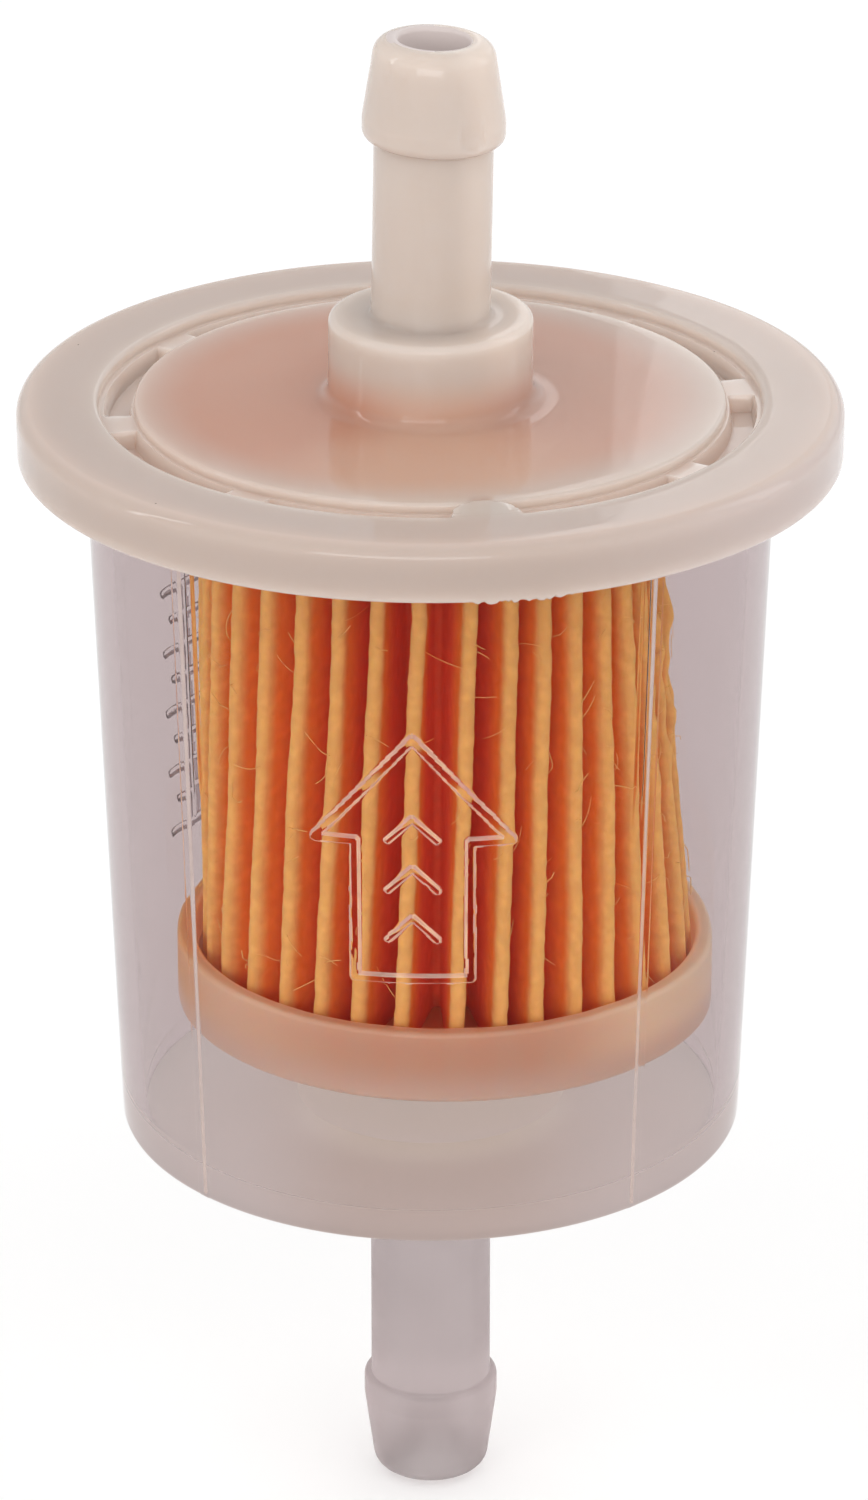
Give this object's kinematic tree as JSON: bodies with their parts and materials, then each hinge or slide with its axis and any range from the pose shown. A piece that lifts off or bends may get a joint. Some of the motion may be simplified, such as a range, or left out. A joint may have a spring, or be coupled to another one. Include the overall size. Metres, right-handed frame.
{
  "type": "inline fuel filter",
  "caption": "Inline fuel filter: clear tapered bowl with an inlet spigot, flanged cap with an outlet spigot, and a pleated paper element inside.",
  "frame": {"origin": "centre of the inlet spigot's tip, on the filter's axis", "axes": "+Z along the filter's axis, from the inlet to the outlet; the flow arrow faces -Y"},
  "size_m": [0.0446, 0.0446, 0.0852],
  "materials": {
    "milky_nylon": "milky translucent moulded nylon, satin, a little warm where the orange paper shows through",
    "clear_nylon": "clear moulded nylon with a slight smoky lavender tint, glossy",
    "end_cap_nylon": "milky moulded nylon with the orange paper bleeding through, satin",
    "orange_paper": "resin-treated filter paper, orange, matt and fibrous, deep red in the folds",
    "amber_potting": "set adhesive, amber, semi-gloss"
  },
  "bodies": {
    "root": {"outlet_cap": "milky_nylon", "clear_bowl": "clear_nylon", "weld_bead": "milky_nylon", "pleated_paper": "orange_paper", "paper_seam_strip": "amber_potting", "lower_end_cap": "end_cap_nylon", "lower_potting_ring": "amber_potting", "upper_potting_ring": "amber_potting"}
  },
  "joints": []
}
